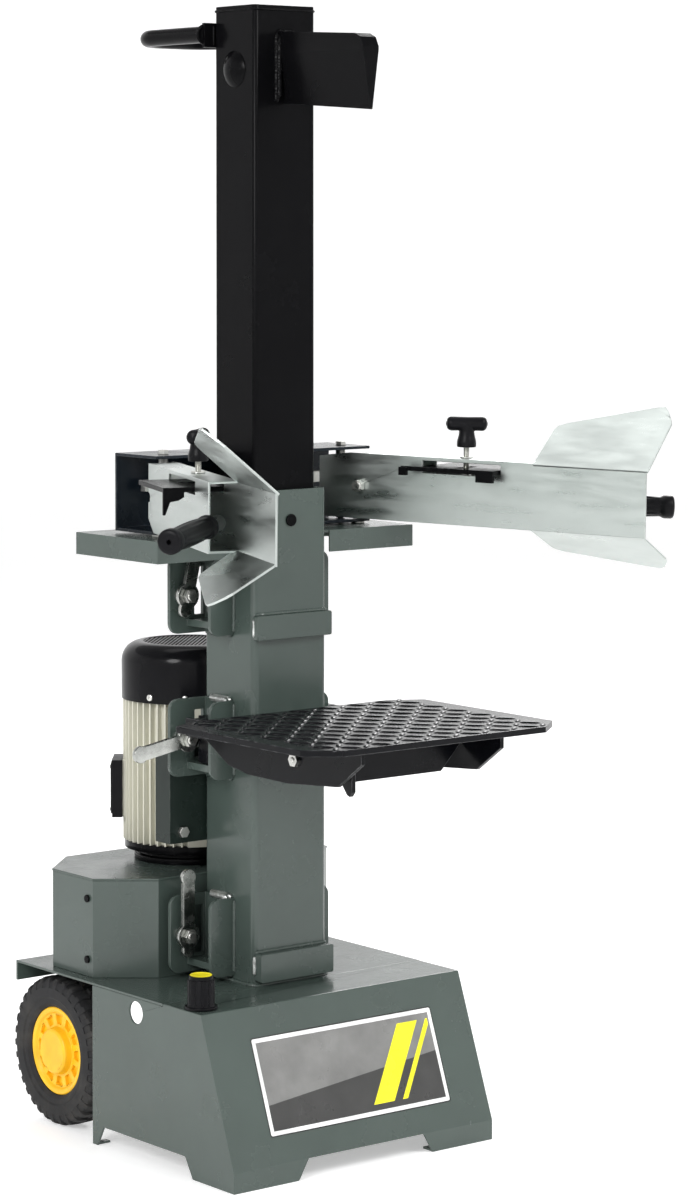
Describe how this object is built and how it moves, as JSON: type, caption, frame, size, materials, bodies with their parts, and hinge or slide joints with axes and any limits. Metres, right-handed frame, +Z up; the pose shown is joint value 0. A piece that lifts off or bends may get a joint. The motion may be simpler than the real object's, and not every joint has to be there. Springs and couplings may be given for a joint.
{
  "type": "vertical hydraulic log splitter",
  "caption": "Upright electric-hydraulic log splitter with sliding wedge mast, two-hand control arms, height-set log table and rear transport wheels.",
  "frame": {"origin": "on the column's axis at ground level, on the sole of the column's foot plate", "axes": "+Z up along the column, +X to the right seen from the front, front of the machine (table and wedge) towards -Y"},
  "size_m": [0.8344, 0.724, 1.492],
  "materials": {
    "grey_green_paint": "satin powder coat",
    "dark_blue_paint": "satin powder coat",
    "dark_green_paint": "satin powder coat",
    "zinc_plate": "bright zinc",
    "zinc_lever": "bright zinc with darker faces",
    "black_gloss_paint": "gloss",
    "cream_paint": "satin paint on cast fins",
    "copper_winding": "varnished winding",
    "black_plastic": "moulded",
    "cast_metal": "machined casting",
    "cylinder_paint": "satin paint",
    "pad_plastic": "plain",
    "chromed_rod": "hard chrome",
    "bright_steel": "bright zinc coated sheet",
    "tyre_rubber": "moulded tread",
    "orange_plastic": "moulded",
    "machined_steel": "machined",
    "green_plastic": "moulded"
  },
  "bodies": {
    "frame": {"base_shell": "grey_green_paint", "fender_plate": "grey_green_paint", "column": "grey_green_paint", "column_plates": "grey_green_paint", "ear_brackets": "grey_green_paint", "shelf": "grey_green_paint", "control_bracket": "dark_blue_paint", "cover_box": "grey_green_paint", "cover_lid": "grey_green_paint", "bright_fasteners": "zinc_plate", "black_screws": "black_gloss_paint", "motor_end_shields": "black_gloss_paint", "motor_housing": "cream_paint", "stator": "copper_winding", "fan_cover": "black_gloss_paint", "switch_box": "black_plastic", "pump_body": "cast_metal", "valve_block": "cast_metal", "oil_tank": "grey_green_paint", "cylinder_barrel": "cylinder_paint", "cylinder_gland": "cast_metal", "cylinder_pin": "zinc_plate", "hydraulic_pipes": "zinc_plate", "guide_pads": "pad_plastic", "axle": "zinc_plate", "motor_brace": "dark_green_paint"},
    "ram": {"mast": "black_gloss_paint", "wedge": "black_gloss_paint", "lift_handle": "black_gloss_paint", "piston_rod": "chromed_rod", "rod_pin": "zinc_plate", "pin_plugs": "black_gloss_paint"},
    "left_swivel": {"left_knuckle": "zinc_plate"},
    "left_arm": {"left_arm": "bright_steel", "left_grip": "black_plastic"},
    "left_claw": {"left_claw": "black_gloss_paint"},
    "left_knob": {"left_claw_knob": "black_plastic"},
    "right_swivel": {"right_knuckle": "zinc_plate"},
    "right_arm": {"right_arm": "bright_steel", "right_grip": "black_plastic"},
    "right_claw": {"right_claw": "black_gloss_paint"},
    "right_knob": {"right_claw_knob": "black_plastic"},
    "low_lever_left": {"low_lever_left": "zinc_lever"},
    "low_lever_right": {"low_lever_right": "zinc_lever"},
    "mid_lever_left": {"mid_lever_left": "zinc_lever"},
    "mid_lever_right": {"mid_lever_right": "zinc_lever"},
    "top_lever_left": {"top_lever_left": "zinc_lever"},
    "top_lever_right": {"top_lever_right": "zinc_lever"},
    "table": {"table_top": "black_gloss_paint", "table_frame": "black_gloss_paint"},
    "left_wheel": {"left_tyre": "tyre_rubber", "left_hub": "orange_plastic"},
    "right_wheel": {"right_tyre": "tyre_rubber", "right_hub": "orange_plastic"},
    "rotor": {"motor_rotor": "machined_steel", "cooling_fan": "black_plastic"},
    "idler": {"pump_idler_gear": "machined_steel"},
    "control": {"control_rod": "zinc_plate"},
    "button": {"start_button": "green_plastic"},
    "filler_cap": {"oil_cap": "black_plastic"}
  },
  "joints": [
    {"name": "ram_slide", "type": "slide", "parent": "frame", "child": "ram", "axis": [0, 0, 1], "range_m": [-0.48, 0]},
    {"name": "right_arm_swing", "type": "hinge", "parent": "frame", "child": "right_swivel", "pos_m": [0.147, 0.025, 0.855], "axis": [0, 0, 1], "range_deg": [-26, 13]},
    {"name": "right_arm_tilt", "type": "hinge", "parent": "right_swivel", "child": "right_arm", "pos_m": [0.15976, -0.01005, 0.8555], "axis": [0.9397, 0.342, 0], "range_deg": [0, 6], "stiffness_Nm_per_rad": 40, "springref_deg": -20.05},
    {"name": "right_claw_slide", "type": "slide", "parent": "right_arm", "child": "right_claw", "axis": [0.9397, 0.342, 0], "range_m": [-0.012, 0.012]},
    {"name": "right_knob_turn", "type": "hinge", "parent": "right_arm", "child": "right_knob", "pos_m": [0.21949, -0.15079, 0.85284], "axis": [0.006, -0.0164, 0.9998], "continuous": true},
    {"name": "left_arm_swing", "type": "hinge", "parent": "frame", "child": "left_swivel", "pos_m": [-0.147, 0.025, 0.855], "axis": [0, 0, 1], "range_deg": [-13, 26]},
    {"name": "left_arm_tilt", "type": "hinge", "parent": "left_swivel", "child": "left_arm", "pos_m": [-0.15976, -0.01005, 0.8555], "axis": [0.9397, -0.342, 0], "range_deg": [0, 6], "stiffness_Nm_per_rad": 40, "springref_deg": -20.05},
    {"name": "left_claw_slide", "type": "slide", "parent": "left_arm", "child": "left_claw", "axis": [-0.9397, 0.342, 0], "range_m": [-0.012, 0.012]},
    {"name": "left_knob_turn", "type": "hinge", "parent": "left_arm", "child": "left_knob", "pos_m": [-0.21949, -0.15079, 0.85284], "axis": [-0.006, -0.0164, 0.9998], "continuous": true},
    {"name": "low_lever_right_turn", "type": "hinge", "parent": "frame", "child": "low_lever_right", "pos_m": [0.103, 0.033, 0.271], "axis": [0, 1, 0], "range_deg": [0, 90]},
    {"name": "low_lever_left_turn", "type": "hinge", "parent": "frame", "child": "low_lever_left", "pos_m": [-0.103, 0.033, 0.271], "axis": [0, 1, 0], "range_deg": [-90, 0]},
    {"name": "mid_lever_right_turn", "type": "hinge", "parent": "frame", "child": "mid_lever_right", "pos_m": [0.103, 0.033, 0.531], "axis": [0, 1, 0], "range_deg": [-100, 0]},
    {"name": "mid_lever_left_turn", "type": "hinge", "parent": "frame", "child": "mid_lever_left", "pos_m": [-0.103, 0.033, 0.531], "axis": [0, 1, 0], "range_deg": [0, 100]},
    {"name": "top_lever_right_turn", "type": "hinge", "parent": "frame", "child": "top_lever_right", "pos_m": [0.103, 0.033, 0.72], "axis": [0, 1, 0], "range_deg": [0, 113]},
    {"name": "top_lever_left_turn", "type": "hinge", "parent": "frame", "child": "top_lever_left", "pos_m": [-0.103, 0.033, 0.72], "axis": [0, 1, 0], "range_deg": [-113, 0]},
    {"name": "table_lift", "type": "slide", "parent": "frame", "child": "table", "axis": [0, 0, 1], "range_m": [0, 0.088]},
    {"name": "right_wheel_spin", "type": "hinge", "parent": "frame", "child": "right_wheel", "pos_m": [0.18, 0.205, 0.1], "axis": [1, 0, 0], "continuous": true},
    {"name": "left_wheel_spin", "type": "hinge", "parent": "frame", "child": "left_wheel", "pos_m": [-0.18, 0.205, 0.1], "axis": [1, 0, 0], "continuous": true},
    {"name": "rotor_spin", "type": "hinge", "parent": "frame", "child": "rotor", "pos_m": [0, 0.175, 0.4], "axis": [0, 0, 1], "continuous": true},
    {"name": "idler_spin", "type": "hinge", "parent": "frame", "child": "idler", "pos_m": [0.0306, 0.175, 0.26], "axis": [0, 0, 1], "continuous": true},
    {"name": "control_slide", "type": "slide", "parent": "frame", "child": "control", "axis": [0, 0, 1], "range_m": [0, 0.009]},
    {"name": "button_press", "type": "slide", "parent": "frame", "child": "button", "axis": [0.7934, -0.6088, 0], "range_m": [0, 0.003], "stiffness_N_per_m": 400, "springref_m": -0.002},
    {"name": "oil_cap_turn", "type": "hinge", "parent": "frame", "child": "filler_cap", "pos_m": [-0.19, -0.115, 0.23], "axis": [0, 0, 1], "continuous": true}
  ],
  "couplings": [
    {"joint": "idler_spin", "follows": "rotor_spin", "ratio": -1},
    {"joint": "control_slide", "follows": "left_arm_tilt", "m_per_rad": 0.082}
  ]
}
